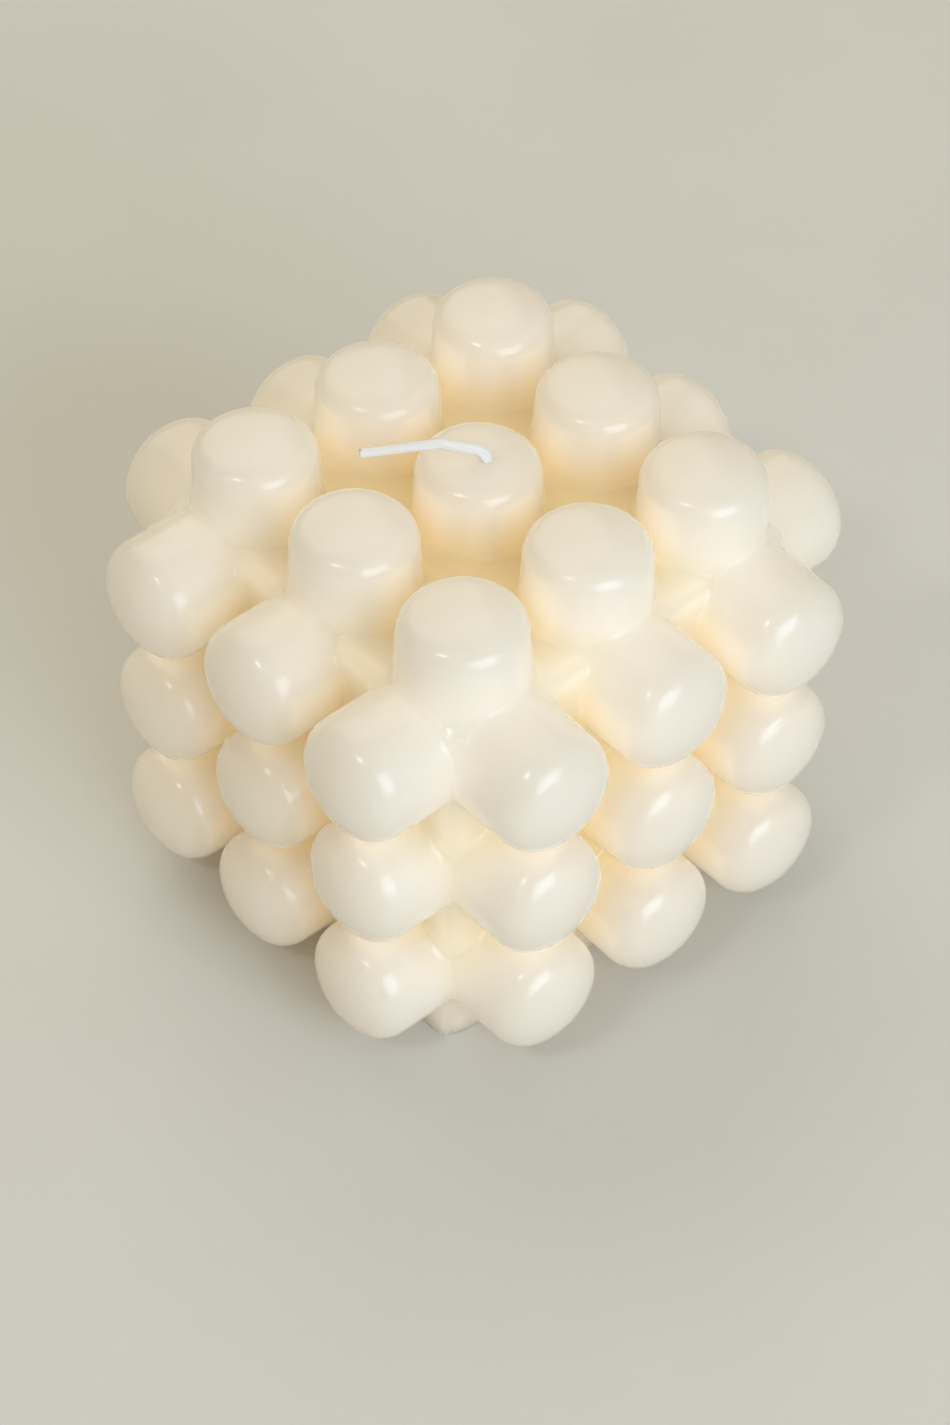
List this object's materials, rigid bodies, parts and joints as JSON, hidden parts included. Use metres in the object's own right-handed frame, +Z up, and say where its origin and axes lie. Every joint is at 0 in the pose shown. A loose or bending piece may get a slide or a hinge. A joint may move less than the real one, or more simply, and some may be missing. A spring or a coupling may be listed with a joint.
{
  "type": "bubble candle",
  "caption": "Cube-shaped bubble candle with round wax bubbles on its top and sides, a bendable cotton wick and a metal wick tab in its flat base.",
  "frame": {"origin": "middle of the base, on the surface that the candle stands on", "axes": "+Z up; +X and -Y point out of the two side walls that the picture shows, +X to its right and -Y to its left"},
  "size_m": [0.074, 0.074, 0.0658],
  "materials": {
    "wax": "satin cast cream wax",
    "wick": "bleached cotton braid, primed with wax",
    "tab": "tin-plated sheet steel"
  },
  "bodies": {
    "candle": {"wax_body": "wax", "wick_stem": "wick", "wick_tab": "tab"},
    "wick_end": {"wick_tip": "wick"}
  },
  "joints": [
    {"name": "wick_bend", "type": "hinge", "parent": "candle", "child": "wick_end", "pos_m": [0.00147, -0.00091, 0.06377], "axis": [-0.7771, 0.6293, 0], "range_deg": [-15, 90]}
  ]
}
